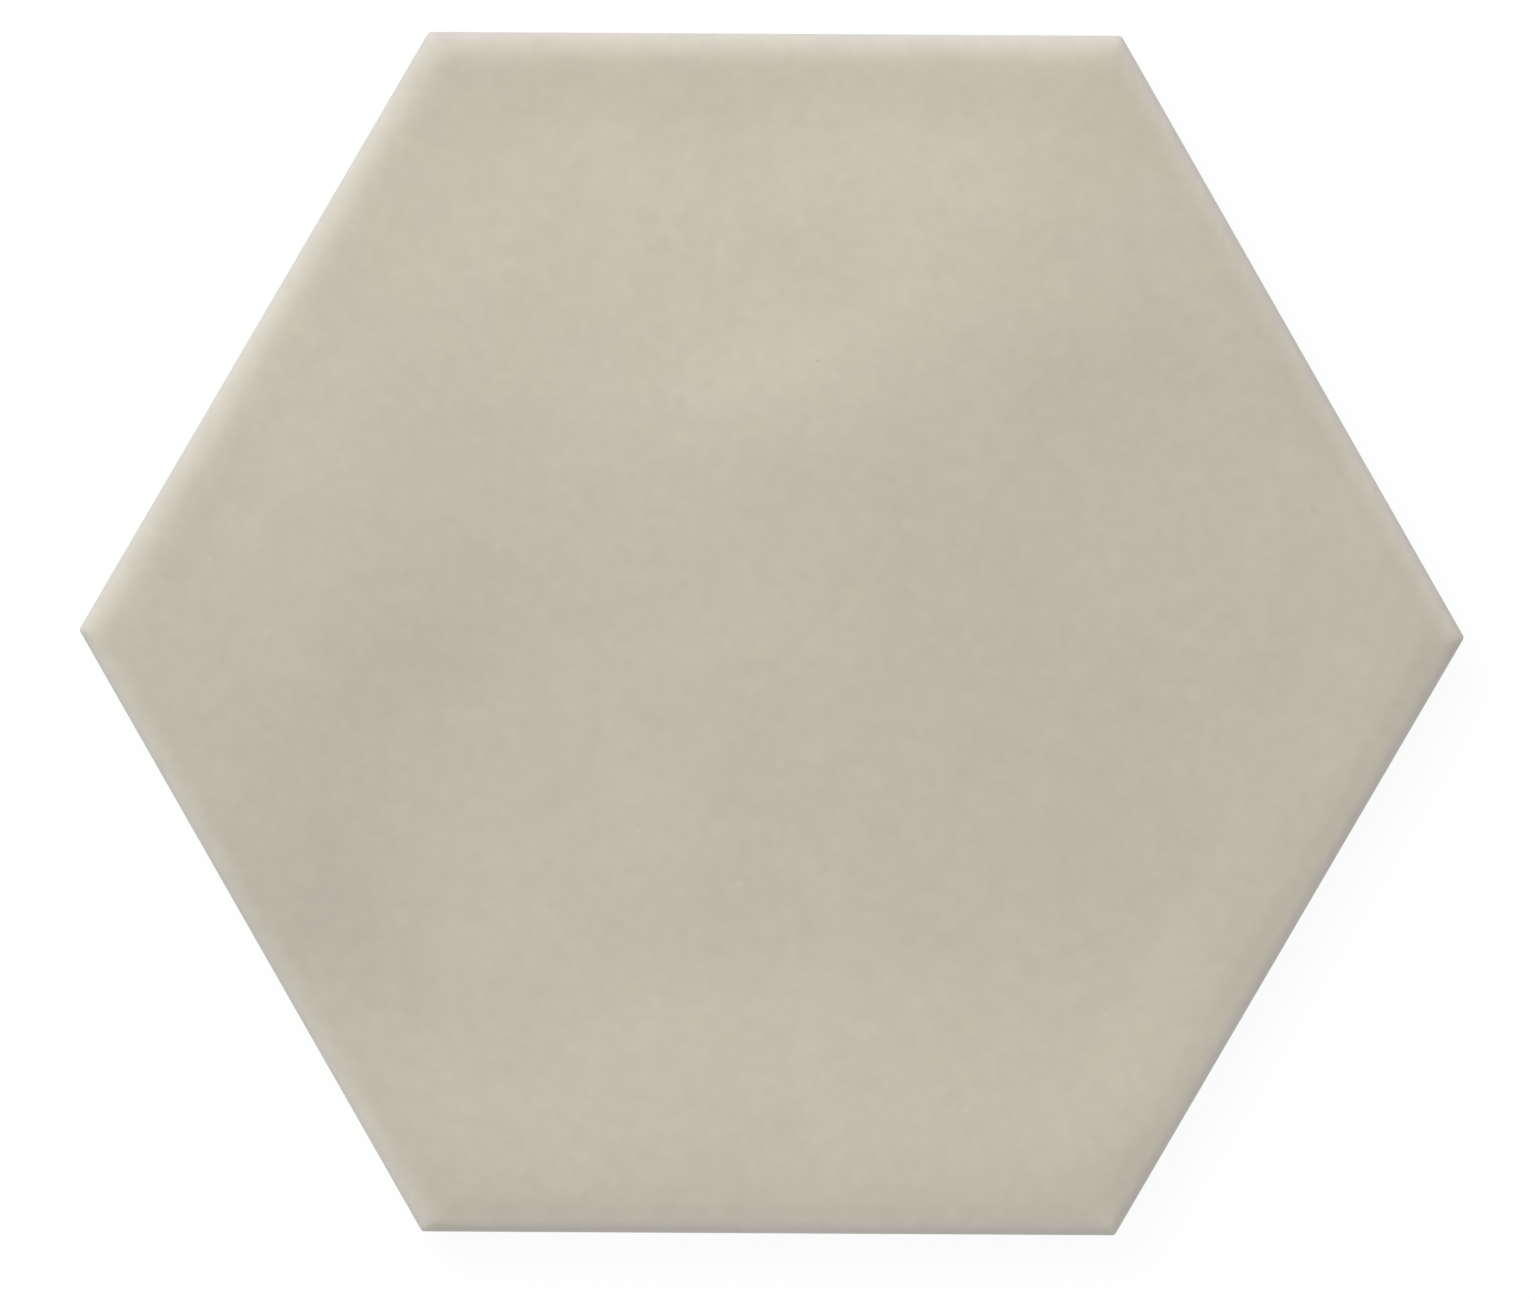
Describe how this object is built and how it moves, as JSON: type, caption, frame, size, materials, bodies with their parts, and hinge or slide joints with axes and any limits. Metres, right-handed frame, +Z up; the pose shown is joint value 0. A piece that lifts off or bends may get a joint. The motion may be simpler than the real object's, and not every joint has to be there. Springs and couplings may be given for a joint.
{
  "type": "hexagon floor tile",
  "caption": "Hexagonal glazed stoneware tile with a gently waved satin face, rolled top edges and a keyed back, laid in honeycomb floors and walls.",
  "frame": {"origin": "middle of the back, on the bedding plane", "axes": "+Z up through the glazed face, +X toward a corner, +Y toward a flat side"},
  "size_m": [0.1246, 0.108, 0.0097],
  "materials": {
    "glazed_stoneware": "satin warm grey-beige glaze with fine mottling, over a pale fired body"
  },
  "bodies": {
    "root": {"hexagon_tile": "glazed_stoneware"}
  },
  "joints": []
}
